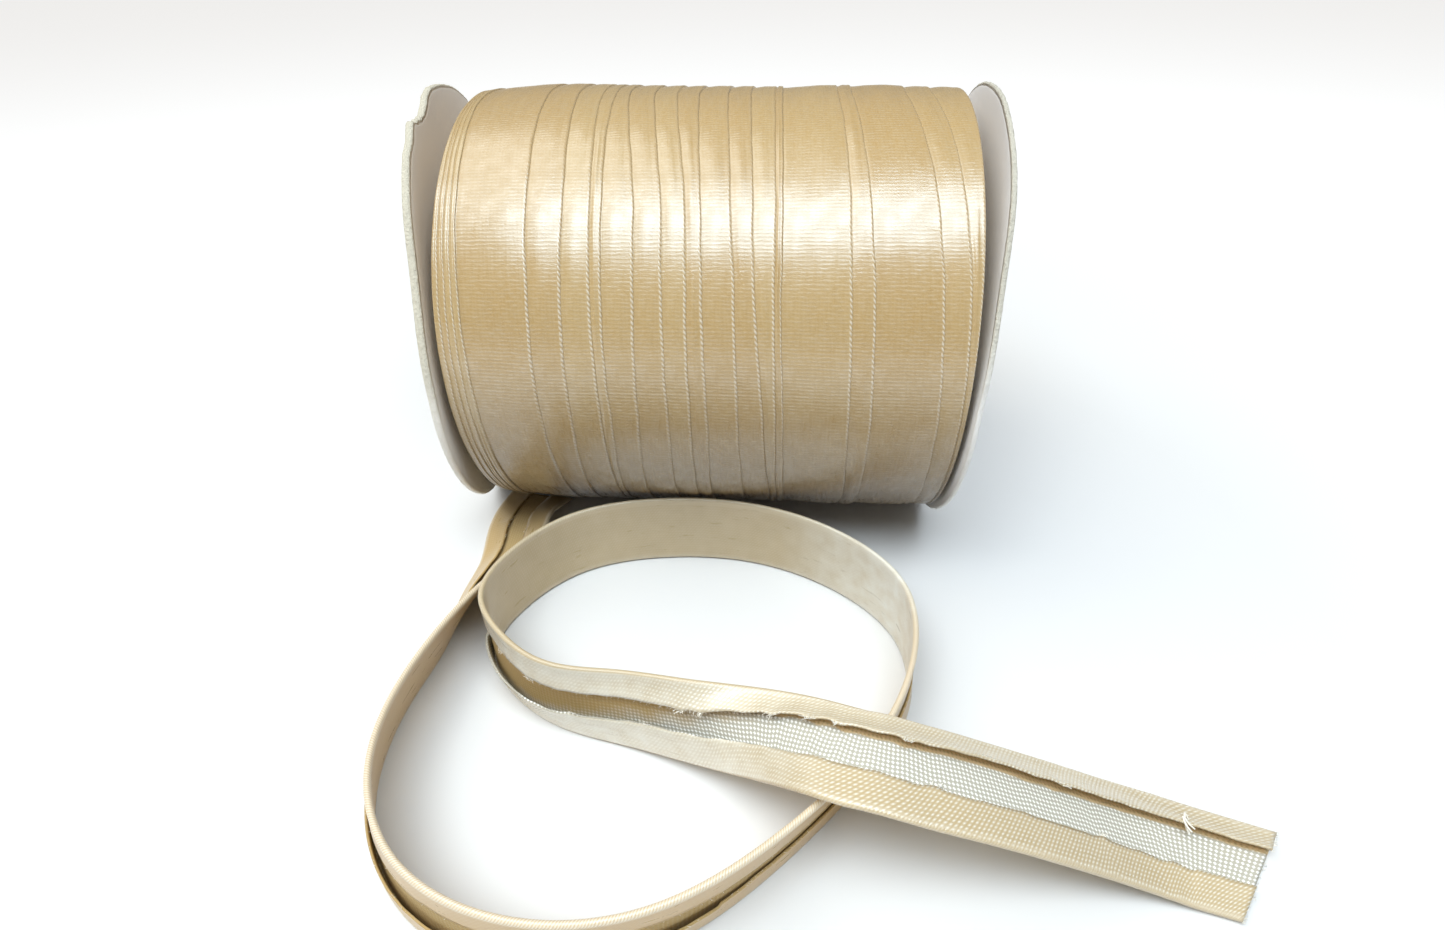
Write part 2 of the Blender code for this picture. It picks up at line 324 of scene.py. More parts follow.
roll = {
    # mm, and degrees up from the front
    "axisHeight": 40.85,
    "radius": 40.5,
    "left": -39.9,
    "right": 46.8,
    "stations": 264,
    "pointsInTurn": 9,
    "foldWaver": 0.16,
    "sag": 0.10,
    "bow": 0.10,
    "flapRise": 0.10,
    "pucker": 0.3,
    # middle and reach, in degrees
    "puckered": (-32, 13),
    "twillShines": (22, 27),
    # places of each fold line along the roll, from its top down: foldAngles from last to first
    "folds": [
        (-39.5, -39.0, -38.7, -38.5, -38.4),
        (-39.0, -38.0, -37.6, -37.3, -37.2),
        (-38.4, -36.9, -36.4, -36.1, -36.0),
        (-37.6, -35.9, -35.2, -34.8, -34.6),
        (-25.4, -24.4, -23.8, -23.8, -23.3),
        (-20.1, -18.5, -18.5, -18.6, -19.2),
        (-15.8, -14.2, -13.9, -13.5, -13.7),
        (-13.6, -12.4, -12.1, -11.8, -12.7),
        (-11.2, -7.2, -7.0, -7.2, -8.2),
        (-6.9, -2.8, -2.5, -2.1, -2.7),
        (-2.9, 0.9, 1.2, 1.6, 1.4),
        (1.0, 3.3, 3.8, 4.4, 4.1),
        (6.0, 8.0, 8.8, 9.5, 10.1),
        (10.0, 11.4, 12.0, 13.6, 15.0),
        (14.1, 14.9, 15.1, 15.8, 16.2),
        (15.3, 16.0, 16.1, 17.0, 17.5),
        (24.9, 26.6, 27.0, 27.8, 28.8),
        (27.2, 29.7, 30.6, 31.5, 31.5),
        (36.5, 40.0, 41.1, 42.4, 43.1),
        (41.1, 44.2, 45.2, 46.1, 46.2),
    ],
    "foldAngles": (-35, -2, 27, 44, 87),
    "backAngles": (150, 205, 260, 325),
    "fullness": [(-40, -0.6), (-36, 0.1), (-24, 0.6), (-8, 0.2), (14, -0.1), (30, 0.1), (48, -0.5)],
    "flapWidth": 4.5,
    "step": 0.22,
    # the two ends, left to right: place along the roll, radius
    "leftEnd": [(-44.0, 14.0), (-43.2, 21.0), (-42.4, 27.5), (-41.9, 31.0), (-41.3, 34.0),
                (-40.9, 36.0), (-40.6, 37.6)],
    "rightEnd": [(47.05, 38.4), (47.05, 34.0), (47.05, 24.0), (47.05, 14.0)],
}


def rollFoldLines(degrees):
    # Fold line places at one angle up from the front; the back closes the turn
    rows = np.array(roll["folds"])[:, ::-1]
    stops = np.array(roll["foldAngles"] + roll["backAngles"], dtype=float)
    middle = rows[:, 1:4].mean(axis=1)
    back = np.stack([rows[:, 4] * 0.55 + middle * 0.45, middle, rows[:, 0] * 0.5 + middle * 0.5,
                     rows[:, 0]], axis=1)
    table = np.concatenate([rows, back], axis=1)
    place = (degrees - stops[0]) % 360.0 + stops[0]
    at = int(np.clip(np.searchsorted(stops, place, side="right") - 1, 0, len(stops) - 2))
    part = (place - stops[at]) / (stops[at + 1] - stops[at])
    part = part * part * (3 - 2 * part) * 0.35 + part * 0.65
    return table[:, at] * (1 - part) + table[:, at + 1] * part


def waver(seed, angle, waves):
    # A closed uneven line round the roll
    dice = np.random.default_rng(seed)
    total = 0.0
    for count in waves:
        total += math.sin(count * angle + dice.uniform(0, math.tau)) * dice.uniform(0.5, 1.0)
    return total / len(waves)


def bell(place, middle, reach):
    return math.exp(-(((place - middle) / reach) ** 2))


def rollRing(angle):
    # One slice of the roll: (x, radius, lip, tone, across)
    degrees = math.degrees(angle)
    lines = [x + roll["foldWaver"] * waver(100 + i, angle, (3, 7, 13, 29))
             for i, x in enumerate(rollFoldLines(degrees))]
    edges = [roll["left"] - 0.1, *lines, roll["right"]]
    radius = roll["radius"]
    # painted highlight: the fold lines' twill is lighter around twillShines, where it faces the light
    twillHighlight = 0.05 + 0.95 * bell(degrees, *roll["twillShines"])
    puckered = roll["pucker"] * bell(degrees, *roll["puckered"])
    rows = [(x, r, 0.0, 0.5, x) for x, r in roll["leftEnd"]]
    for turn, (start, fold) in enumerate(zip(edges, edges[1:])):
        span = max(fold - start, 0.4)
        fit = min(1.0, span / 2.2)  # a narrow turn has a smaller lip
        tone = np.random.default_rng(turn + 7).uniform(0, 1)
        sag = roll["sag"] * waver(300 + turn, angle, (5, 11, 17))
        step = roll["step"] * min(1.0, 0.2 + span / 5)
        low = radius - step if turn else radius - 0.7
        rows.append((start + 0.05 * fit, low - 0.04 * fit, 0.0, tone, 0.0))
        rows.append((start + 0.18 * fit, low, 0.0, tone, 0.2))
        count = roll["pointsInTurn"]
        for k in range(count):
            part = (k + 0.5) / count
            x = start + 0.3 * fit + (span - 1.1 * fit) * part
            lift = -step * (1 - part) ** 1.3
            # the hidden flap pads the turn near its fold line
            inside = (fold - x - roll["flapWidth"]) * 2.2
            flap = roll["flapRise"] / (1 + math.exp(inside)) if span > 6 else roll["flapRise"] / 2
            bow = roll["bow"] * math.sin(math.pi * part) + sag * math.sin(math.pi * part)
            pucker = puckered * part**2 * waver(500 + turn, angle, (23, 37, 51)) if span > 2 else 0.0
            rows.append((x, radius + lift + flap + bow + pucker - 0.05, 0.0, tone, x - start))
        # over the fold line and down to the turn below
        rows.append((fold - 0.50 * fit, radius + 0.05, 0.0, tone, span - 0.5))
        rows.append((fold - 0.30 * fit, radius + 0.05, twillHighlight, tone, span - 0.3))
        rows.append((fold - 0.12 * fit, radius - 0.01 * fit, twillHighlight, tone, span - 0.1))
        rows.append((fold - 0.02 * fit, radius - 0.12 * fit, twillHighlight, tone, span + 0.05))
        rows.append((fold, radius - 0.26 * fit, 0.2, tone, span + 0.2))
    rows += [(x, r, 0.0, 0.5, r) for x, r in roll["rightEnd"]]
    places, added = zip(*roll["fullness"])
    return [(x, r + float(np.interp(x, places, added)), lip, tone, u) for x, r, lip, tone, u in rows]


def makeWoundTape():
    count = roll["stations"]
    angles = [math.tau * (i + 0.5) / count - math.pi / 2 for i in range(count)]
    rings = [rollRing(angle) for angle in angles]
    across = len(rings[0])
    points = []
    marks = {"lip": [], "tone": [], "pale": []}
    for angle, ring in zip(angles, rings):
        for x, radius, lip, tone, _ in ring:
            height = max(roll["axisHeight"] + radius * math.sin(angle), 0.0)
            points.append((x + rollX, -radius * math.cos(angle) + rollY, height))
            marks["lip"].append(lip)
            marks["tone"].append(tone)
            marks["pale"].append(0.0)
    faces, uv = [], []
    arc = math.tau * roll["radius"] / count
    for i in range(count):
        here, after = i * across, (i + 1) % count * across
        for j in range(across - 1):
            faces.append((here + j, here + j + 1, after + j + 1, after + j))
            left, right = rings[i][j][4], rings[i][j + 1][4]
            left = min(left, right)
            low, high = i * arc, (i + 1) * arc
            uv.append(((left, low), (right, low), (right, high), (left, high)))
    for j, order in ((0, range(count)), (across - 1, reversed(range(count)))):
        faces.append(tuple(i * across + j for i in order))
        uv.append(((0.0, 0.0),) * count)
    obj = clothMesh("woundTape", points, faces, uv, marks)
    obj.data.materials.append(satinFinish("satinWound", "wound"))
    return obj


tape = {
    # mm, with the places along the tape from the roll on
    "cloth": 0.3,
    "width": 15.0,
    "foldHeight": 0.95,
    "step": 0.62,
    "flapPoints": 9,
    "foldPoints": 5,
    "webPoints": 15,
    "openWaver": 0.12,
    # uneven raw edges, foot and rim: fine and slow
    "jagged": ((0.16, 0.22), (0.12, 0.20)),
    "cutSkew": 24,
    "cutReach": 12.0,
    # how far the flaps reach over the web, and how far the upper one is lifted
    "footFlap": [(275, 4.7), (292, 5.4), (345, 5.3), (420, 4.7)],
    "rimFlap": [(275, 4.7), (292, 3.7), (330, 3.9), (420, 3.6)],
    "rimLift": [(300, 0.0), (335, 0.8), (420, 1.0)],
    # painted sheen: where the satin side is painted nearly white
    "footShine": [(300, 0.0), (312, 0.8), (340, 0.7), (362, 0.1), (420, 0.1)],
    "rimShine": [(270, 0.0), (286, 0.75), (322, 0.8), (345, 0.35), (420, 0.25)],
    "webShine": [(150, 0.0), (185, 0.15), (198, 0.9), (212, 0.6), (225, 0.1), (262, 0.1), (275, 0.0)],
    # painted shade: the deeper, warmer colour where the tape stands in shade, at the loop's left and
    # near side
    "shadedGold": [(0, 0.2), (45, 0.8), (160, 0.9), (195, 0.2), (215, 0.0), (420, 0.0)],
    "webWeave": 0.12,
    "weaveShows": [(0, 0.12), (270, 0.15), (292, 0.55), (335, 1.0), (420, 1.0)],
    # painted light and shade along the loop: lighter on the left arm, darker on the far inside
    "webLightAndShade": [(0, 0.6), (50, 1.0), (120, 0.9), (170, 0.5), (215, 0.0), (272, 0.0), (290, 0.5),
                (420, 0.5)],
    # frayed places on the two raw edges
    "footTufts": (315, 327, 372, 398),
    "rimTufts": (300, 308, 335, 338, 349.5, 355, 359, 368, 392),
    "tuftReach": 0.9,
    "tuftWide": 0.35,
    "looseThreads": 413.0,
    # (x, y, lift, tilt, width, rim, foot): x and y are the middle of the tape, lift its
    # lowest line over the table; tilt 0 lies flat with the folded edges up, 90 stands on
    # edge; rim and foot are how far each folded edge stands open
    "route": [
        (-36.5, -15.5, 0.0, 3, 15.0, 0.0, 0.0),
        (-38.0, -24.5, 0.2, 14, 15.0, 0.0, 0.2),
        (-37.0, -38.0, 0.0, 28, 15.0, 0.0, 0.4),
        (-38.7, -48.0, 0.0, 43, 15.0, 0.0, 0.3),
        (-39.5, -57.5, 0.0, 60, 15.0, 0.0, 0.0),
        (-42.0, -72.0, 0.0, 68, 15.0, 0.0, 0.0),
        (-40.2, -91.0, 0.0, 76, 15.0, 0.0, 0.3),
        (-30.5, -103.6, 0.0, 84, 15.0, 0.0, 0.5),
        (-15.5, -109.2, 0.0, 90, 15.0, 0.0, 0.5),
        (2.0, -106.8, 0.0, 96, 15.0, 0.0, 0.3),
        (17.0, -96.8, 0.0, 99, 15.0, 0.0, 0.0),
        (30.0, -83.0, 0.0, 98, 15.0, 0.0, 0.0),
        (38.5, -67.5, 0.0, 88, 15.0, 0.0, 0.0),
        (38.5, -53.0, 0.0, 88, 15.0, 0.0, 0.0),
        (28.5, -41.0, 0.0, 90, 15.0, 0.0, 0.0),
        (12.0, -33.7, 0.0, 91, 15.0, 0.0, 0.0),
        (-6.0, -33.1, 0.0, 92, 15.0, 0.0, 0.0),
        (-22.0, -38.3, 0.0, 92, 15.0, 0.0, 0.0),
        (-31.0, -48.5, 0.0, 91, 15.0, 0.0, 0.0),
        (-33.4, -59.0, 0.0, 89, 15.0, 0.0, 0.0),
        (-28.0, -67.2, 0.0, 88, 15.0, 0.1, 1.3),
        (-18.0, -73.6, 0.1, 87, 15.0, 0.4, 1.5),
        (-7.0, -75.5, 0.3, 79, 15.0, 0.4, 0.7),
        (4.0, -78.5, 3.0, 71, 14.6, 0.4, 0.3),
        (15.0, -82.3, 9.8, 38, 12.6, 0.5, 0.1),
        (26.0, -87.8, 17.4, 2, 14.3, 0.5, 0.1),
        (37.0, -89.8, 16.8, 0, 14.7, 0.5, 0.1),
        (48.0, -89.6, 12.5, 0, 15.0, 0.5, 0.1),
        (59.0, -88.9, 6.7, 2, 15.0, 0.5, 0.1),
        (70.0, -88.7, 1.5, 2, 15.0, 0.5, 0.2),
        (83.3, -91.5, 0.0, 0, 14.8, 0.3, 0.3),
    ],
}


def spline(knots, values, places):
    # Natural cubic curve through the table's rows
    count = len(knots)
    gaps = np.diff(knots)
    matrix = np.eye(count)
    right = np.zeros(count)
    for i in range(1, count - 1):
        matrix[i, i - 1 : i + 2] = gaps[i - 1], 2 * (gaps[i - 1] + gaps[i]), gaps[i]
        slopes = np.diff(values[i - 1 : i + 2]) / gaps[i - 1 : i + 1]
        right[i] = 6 * (slopes[1] - slopes[0])
    bend = np.linalg.solve(matrix, right)
    at = np.clip(np.searchsorted(knots, places) - 1, 0, count - 2)
    before = places - knots[at]
    after = knots[at + 1] - places
    gap = gaps[at]
    curve = (bend[at] * after**3 + bend[at + 1] * before**3) / (6 * gap)
    curve += (values[at] / gap - bend[at] * gap / 6) * after
    curve += (values[at + 1] / gap - bend[at + 1] * gap / 6) * before
    return curve


def tableAt(rows, place):
    places, values = zip(*rows)
    return float(np.interp(place, places, values))


def roughLine(seed, count, smoothing):
    # Seeded uneven line, roughly between -1 and 1
    values = np.random.default_rng(seed).normal(size=count + 6 * smoothing)
    kernel = np.exp(-0.5 * (np.arange(-3 * smoothing, 3 * smoothing + 1) / smoothing) ** 2)
    kernel /= math.sqrt((kernel**2).sum())
    return np.convolve(values, kernel, mode="same")[3 * smoothing : 3 * smoothing + count] * 0.5


def tapeMiddle(width, flapFoot, flapRim, footOpen, rimOpen):
    # Middle line of the cloth from raw edge to raw edge: (across, depth, lip)
    cloth = tape["cloth"]
    bend = (tape["foldHeight"] - cloth) / 2
    reach = width / 2 - cloth / 2 - bend
    flapEnd, foldEnd, webEnd = tape["flapPoints"] - 1, tape["foldPoints"] + 1, tape["webPoints"] - 1

    def foldedEdge(side, flap, opened):
        rows = []
        for k in range(flapEnd + 1):
            share = k / flapEnd
            back = flap * (1 - share)
            lift = opened * (1 - share) ** 1.6 - 0.22 * (1 - share) * (opened < 0.25)
            rows.append((side * (reach - back), bend + lift, max(0.0, 1 - back / 0.5)))
        for k in range(1, foldEnd):
            turn = math.pi * k / foldEnd
            rows.append((side * (reach + bend * math.sin(turn)), bend * math.cos(turn), 1.0))
        return rows

    web = [-reach + 2 * reach * k / webEnd for k in range(webEnd + 1)]
    return [*foldedEdge(-1, flapFoot, footOpen),
            *((x, -bend, max(0.0, 1 - (reach - abs(x)) / 0.4)) for x in web),
            *reversed(foldedEdge(1, flapRim, rimOpen))]


def tapeRoute():
    # The route's seven columns at even steps along it
    table = np.array(tape["route"], dtype=float)
    knots = np.concatenate([[0.0], np.cumsum(np.linalg.norm(np.diff(table[:, :2], axis=0), axis=1))])
    count = int(knots[-1] / tape["step"]) + 1
    places = np.linspace(0.0, knots[-1], count)
    x, y, lift, tilt, width, rim, foot = (spline(knots, column, places) for column in table.T)
    rim = np.maximum(rim + tape["openWaver"] * roughLine(3, count, 14), 0.0)
    foot = np.maximum(foot + tape["openWaver"] * roughLine(4, count, 14), 0.0)
    return places, np.stack([x, y, np.maximum(lift, 0.0), tilt, width, rim, foot], axis=1)


def tapeMarks(run, middle):
    # What the finishes read at one section: the satin side's points, then the wrong side's
    count = len(middle)
    flap = tape["flapPoints"]
    web = count - 2 * flap
    foot, inner, rim = (tableAt(tape[key], run) for key in ("footShine", "webShine", "rimShine"))
    drawn = tableAt(tape["weaveShows"], run)
    rawEdge = middle[-1][0]
    return {
        "lip": [lip for _, _, lip in middle] + [0.0] * count,
        # pale is painted sheen on the satin side
        "pale": [foot] * flap + [inner] * web + [rim] * flap + [0.0] * count,
        "weave": [drawn] * flap + [tape["webWeave"]] * web + [drawn] * flap + [1.0] * count,
        "shadedGold": [tableAt(tape["shadedGold"], run)] * (2 * count),
        # on the wrong side the tone is how far a point is past the upper raw edge, mm
        "tone": [tableAt(tape["webLightAndShade"], run)] * count + [u - rawEdge for u, _, _ in reversed(middle)],
    }


def frayPlaces(dice, middlePoint, along, side, back, line, tufts, run):
    # Where threads may grow at one section: (point, aim, tuft, stretch)
    rows = []
    for end, inward, edge in ((0, 1, 0), (-1, -2, 1)):
        out = line[end] - line[inward]
        aim = (side * out[0] + back * out[1]).normalized() + back * 0.5 + along * (0.6 - 1.2 * edge)
        start = side * line[end][0] + back * line[end][1] + middlePoint
        for _ in range(2 + int(9 * tufts[edge])):
            point = start + along * dice.uniform(-0.4, 0.4)
            rows.append((point, aim.normalized(), 0.25 + tufts[edge], 1.0))
    if abs(run - tape["looseThreads"]) < 0.4:
        for _ in range(5):
            point = start + back * 0.2 + along * dice.uniform(-0.5, 0.5) + side * dice.uniform(0.2, 1.6)
            aim = (back * 0.25 - side * 0.9 + along * dice.uniform(0.1, 0.5)).normalized()
            rows.append((point, aim, 9.0, 2.6))
    return rows


def cutPlaces(dice, middlePoint, along, side, back, skew, line):
    # The same for the cut end
    rows = []
    for u, v in line:
        for _ in range(3):
            reach = u + dice.uniform(-0.3, 0.3)
            point = (side + along * skew) * reach + back * v + middlePoint
            rows.append((point, (along + side * 0.3).normalized(), 1.2, 0.7))
    return rows


def tapeFaces(flats):
    # Faces between the sections and over both ends; right says which show the satin side
    faces, uv, right = [], [], []
    count, across = len(flats), len(flats[0])
    half = across // 2
    for i in range(count - 1):
        for j in range(across):
            k = (j + 1) % across
            faces.append((i * across + j, i * across + k, (i + 1) * across + k, (i + 1) * across + j))
            uv.append((flats[i][j], flats[i][k], flats[i + 1][k], flats[i + 1][j]))
            right.append(j < half)
    for i in (0, count - 1):
        for j in range(half - 1):
            corners = (j, j + 1, across - 2 - j, across - 1 - j)
            if i == 0:
                corners = (j, across - 1 - j, across - 2 - j, j + 1)
            faces.append(tuple(i * across + corner for corner in corners))
            uv.append(tuple(flats[i][corner] for corner in corners))
            right.append(False)
    return faces, uv, right


def makeLooseTape():
    places, steps = tapeRoute()
    count = len(places)
    jag = [fine * roughLine(seed, count, 1) + slow * roughLine(seed + 1, count, 9)
           for seed, (fine, slow) in zip((11, 13), tape["jagged"])]
    points, flats, edge = [], [], []
    marks = {"lip": [], "tone": [], "pale": [], "weave": [], "shadedGold": []}
    dice = np.random.default_rng(21)
    run, last = 0.0, None
    for i, (x, y, lift, tilt, width, rimOpen, footOpen) in enumerate(steps):
        before, after = max(i - 1, 0), min(i + 1, count - 1)
        along = Vector(steps[after, :3] - steps[before, :3]).normalized()
        left = Vector((-along.y, along.x, 0.0)).normalized()
        lean = math.radians(tilt)
        side = math.cos(lean) * left + math.sin(lean) * along.cross(left)
        back = along.cross(side)
        nearEnd = max(0.0, 1 - (places[-1] - places[i]) / tape["cutReach"])
        skew = math.tan(math.radians(tape["cutSkew"])) * nearEnd
        tufts = [max(bell(run, tuft, tape["tuftReach"]) for tuft in tape[key])
                 for key in ("footTufts", "rimTufts")]
        flaps = [tableAt(tape[key], run) * width / tape["width"] + uneven[i] + tape["tuftWide"] * tuft
                 for key, uneven, tuft in zip(("footFlap", "rimFlap"), jag, tufts)]
        middle = tapeMiddle(width, *flaps, footOpen, rimOpen + tableAt(tape["rimLift"], run))
        line = np.array([(u, v) for u, v, _ in middle])
        slope = np.gradient(line, axis=0)
        slope /= np.linalg.norm(slope, axis=1)[:, None]
        normal = np.stack([-slope[:, 1], slope[:, 0]], axis=1) * (tape["cloth"] / 2)
        ring = np.concatenate([line - normal, (line + normal)[::-1]])
        world = [(side + along * skew) * u + back * v for u, v in ring]
        middlePoint = Vector((x, y, lift - min(p.z for p in world)))
        if last is not None:
            run += (middlePoint - last).length
        last = middlePoint
        points += [p + middlePoint for p in world]
        for key, values in tapeMarks(run, middle).items():
            marks[key] += values
        edge += frayPlaces(dice, middlePoint, along, side, back, line, tufts, run)
        if i == count - 1:
            edge += cutPlaces(dice, middlePoint, along, side, back, skew, line)
        spread = np.concatenate([[0.0], np.cumsum(np.linalg.norm(np.diff(line, axis=0), axis=1))])
        spread -= spread[-1] / 2
        flats.append([(s, run) for s in spread] + [(s, run) for s in spread[::-1]])
    faces, uv, right = tapeFaces(flats)
    points = [(p.x + rollX, p.y + rollY, p.z) for p in points]
    obj = clothMesh("looseTape", points, faces, uv, marks)
    obj.data.materials.append(satinFinish("satinLoose", "loose"))
    obj.data.materials.append(wrongSideFinish())
    obj.data.polygons.foreach_set("material_index", [0 if satinSide else 1 for satinSide in right])
    print("loose tape length, mm:", round(run, 1))
    return obj, run, edge


fray = {
    "chance": 0.6,
    "length": 0.8,  # mm
    "thick": 0.11,
    "spread": 0.6,
    "lengths": (0.35, 1.3),
    "bow": ((0.0, 0.0, 0.0), (0.05, 0.0, 0.6), (0.35, 0.1, 1.0)),
    "overTable": 0.03,
    "seed": 5,
    "grainScale": 400.0,
    "dark": (0.88, 0.83, 0.70),
    "light": (0.97, 0.96, 0.92),
}


def frayTree(material):
    # Short loose threads on the raw edge's points
    tree = bpy.data.node_groups.new("frayedEdge", "GeometryNodeTree")
    sockets = {"Edge": "Geometry", "Chance": "Float", "Length": "Float", "Thickness": "Float",
               "Spread": "Float", "Seed": "Int"}
    for name, kind in sockets.items():
        tree.interface.new_socket(name, in_out="INPUT", socket_type="NodeSocket" + kind)
    tree.interface.new_socket("Threads", in_out="OUTPUT", socket_type="NodeSocketGeometry")
    source = addNode(tree, "NodeGroupInput")
    given = {name: Wire(tree, source.outputs[name]) for name in sockets}

    def add(kind, settings=None, inputs=None, out=0):
        return Wire(tree, addNode(tree, kind, settings, inputs).outputs[out])

    def reading(name, kind="FLOAT"):
        return add("GeometryNodeInputNamedAttribute", {"data_type": kind}, {"Name": name}, "Attribute")

    def random(kind, low, high, first, out):
        return add("FunctionNodeRandomValue", {"data_type": kind},
                   {first: low, first + 1: high, "Seed": given["Seed"]}, out)

    dice = random("FLOAT", 0.0, 1.0, 2, 1)
    chance = reading("tuft") * given["Chance"]
    keep = add("FunctionNodeCompare", {"operation": "LESS_THAN"}, {0: dice, 1: chance})
    stray = random("FLOAT_VECTOR", (-1.0, -1.0, -1.0), (1.0, 1.0, 1.0), 0, 0)
    swing = add("ShaderNodeVectorMath", {"operation": "SCALE"}, {0: stray, "Scale": given["Spread"]})
    aim = reading("aim", "FLOAT_VECTOR")
    way = add("ShaderNodeVectorMath", {"operation": "ADD"}, {0: aim, 1: swing})
    turn = add("FunctionNodeAlignRotationToVector", {"axis": "Z"}, {"Vector": way})
    reach = random("FLOAT", *fray["lengths"], 2, 1) * reading("stretch") * given["Length"]
    start, middle, end = fray["bow"]
    bow = add("GeometryNodeCurveQuadraticBezier", {},
              {"Resolution": 5, "Start": start, "Middle": middle, "End": end})
    section = add("GeometryNodeCurvePrimitiveCircle", {},
                  {"Resolution": 4, "Radius": given["Thickness"] / given["Length"]})
    strand = add("GeometryNodeCurveToMesh", {},
                 {"Curve": bow, "Profile Curve": section, "Fill Caps": True})
    points = add("GeometryNodeMeshToPoints", {}, {"Mesh": given["Edge"]})
    placed = add("GeometryNodeInstanceOnPoints", {},
                 {"Points": points, "Selection": keep, "Instance": strand, "Rotation": turn,
                  "Scale": reach})
    real = add("GeometryNodeRealizeInstances", {}, {"Geometry": placed})
    dressed = add("GeometryNodeSetMaterial", {}, {"Geometry": real, "Material": material})
    addNode(tree, "NodeGroupOutput", {}, {"Threads": dressed})
    return tree


def makeFray(edge):
    points, aims, tufts, stretches = zip(*edge)
    mesh = bpy.data.meshes.new("rawEdge")
    mesh.from_pydata([((p.x + rollX) * mm, (p.y + rollY) * mm, p.z * mm) for p in points], [], [])
    flatAims = [c for aim in aims for c in aim]
    mesh.attributes.new("aim", "FLOAT_VECTOR", "POINT").data.foreach_set("vector", flatAims)
    for key, values in (("tuft", tufts), ("stretch", stretches)):
        mesh.attributes.new(key, "FLOAT", "POINT").data.foreach_set("value", values)
    source = addObject("rawEdge", mesh)
    thread = Finish("frayThread")
    grain = thread.noise(thread.objectPlace(), fray["grainScale"])
    thread.set(Base_Color=thread.mix(grain, fray["dark"], fray["light"]), Roughness=0.45,
               Specular_IOR_Level=0.6)
    tree = frayTree(thread.material)
    modifier = source.modifiers.new("fray", "NODES")
    modifier.node_group = tree
    values = {"Chance": fray["chance"], "Length": fray["length"] * mm,
              "Thickness": fray["thick"] * mm / 2, "Spread": fray["spread"], "Seed": fray["seed"]}
    for item in tree.interface.items_tree:
        if item.in_out == "INPUT" and item.name in values:
            modifier[item.identifier] = values[item.name]
    bpy.context.view_layer.update()
    grown = source.evaluated_get(bpy.context.evaluated_depsgraph_get())
    result = bpy.data.meshes.new_from_object(grown)
    result.name = "looseTapeFray"
    for corner in result.vertices:
        corner.co.z = max(corner.co.z, fray["overTable"] * mm)
    bpy.data.objects.remove(source, do_unlink=True)
    print("frayed threads, faces:", len(result.polygons))
    return addObject("looseTapeFray", result)


wrongSide = {
    "liesFrom": 318,  # mm along the tape, where it starts to lie open
    "liesFade": 18,
    # painted shade and light: shaded tan copies and a lit grey-white copy of one cloth
    "standingShade": (0.50, 0.35, 0.155),
    "underFlapShadow": (0.72, 0.54, 0.31),
    "lyingLit": (0.48, 0.455, 0.38),
    "standingShadeThread": (0.56, 0.43, 0.23),
    "lyingLitThread": (1.0, 1.0, 0.97),
    "relief": 0.00005,
}


def wrongSideFinish():
    finish = Finish("wrongSide")
    uv, across, along, ticks = clothGrid(finish)
    cloud = finish.noise(uv, 0.3, 3.0)
    # painted shade: tan copies of the wrong side where the tape stands on edge and under the upper
    # flap, where shade falls; a lit grey-white copy where it lies open
    lies = (along - wrongSide["liesFrom"] - across * 5) / wrongSide["liesFade"] + cloud - 0.5
    covered = (finish.reading("tone") * 3).clip()
    lies = lies.clip() * (1 - covered)
    flapShadow = covered * (along * 0.05 - 16).clip()
    tan = finish.mix(flapShadow, wrongSide["standingShade"], wrongSide["underFlapShadow"])
    base = finish.mix(lies, tan, wrongSide["lyingLit"])
    thread = finish.mix(lies, wrongSide["standingShadeThread"], wrongSide["lyingLitThread"])
    finish.set(Base_Color=finish.mix(ticks, base, thread), Roughness=0.75, Specular_IOR_Level=0.25)
    finish.bump(ticks, wrongSide["relief"])
    return finish.material


disc = {
    "segments": 360,
    "rimWaver": 0.07,
    "tornWaver": 0.12,
    "dent": 0.16,
    # rings from the middle out over a face, then over the edge: share, depth, torn
    "face": (0.1, 0.25, 0.4, 0.55, 0.7, 0.8, 0.87, 0.92, 0.955, 0.975),
    "edge": [(0.985, 0.02, 0.0), (0.994, 0.10, 1.0), (0.999, 0.24, 1.0), (1.0, 0.42, 1.0),
             (1.0, 0.6, 1.0), (0.999, 0.78, 1.0), (0.994, 0.92, 1.0), (0.985, 1.0, 0.3)],
    "grainScale": 900.0,
    "softScale": 40.0,
    "fibreScale": 2200.0,
    "relief": 0.00022,
    # above cutFrom degrees the edge shows its torn fibres; low and high are a face's colour
    # near the table and near the top, painted shade that darkens the left face's top near the roll; rim
    # is angle and radius
    "left": {
        "x": -48.9,
        "thick": -1.6,
        "leanNear": -0.188,
        "leanFar": -0.09,
        "leanUp": 0.02,
        "leanDown": 0.02,
        "cutFrom": 2,
        "seed": 21,
        "low": (0.93, 0.93, 0.92),
        "high": (0.91, 0.85, 0.78),
        "torn": (0.80, 0.74, 0.60),
        "rim": [(-90, 41.0), (-50, 41.1), (-10, 42.2), (5, 41.4), (28, 40.1), (50, 41.9), (57, 42.1),
                (63, 41.4), (67.5, 42.1), (71, 40.7), (75, 39.6), (79, 39.2), (82.5, 39.6), (87, 40.6),
                (92, 41.1), (115, 41.3), (180, 41.0), (235, 41.0), (270, 41.0)],
    },
    "right": {
        "x": 49.1,
        "thick": 1.0,
        "leanNear": 0.03,
        "leanFar": 0.03,
        "leanUp": 0.055,
        "leanDown": 0.02,
        "cutFrom": 10,
        "seed": 22,
        "low": (0.93, 0.93, 0.93),
        "high": (0.95, 0.95, 0.97),
        "torn": (0.72, 0.68, 0.58),
        "rim": [(-90, 41.0), (-50, 41.1), (-10, 42.2), (5, 41.4), (28, 40.1), (50, 41.9), (75, 41.1),
                (92, 40.8), (115, 41.3), (180, 41.0), (235, 41.0), (270, 41.0)],
    },
}


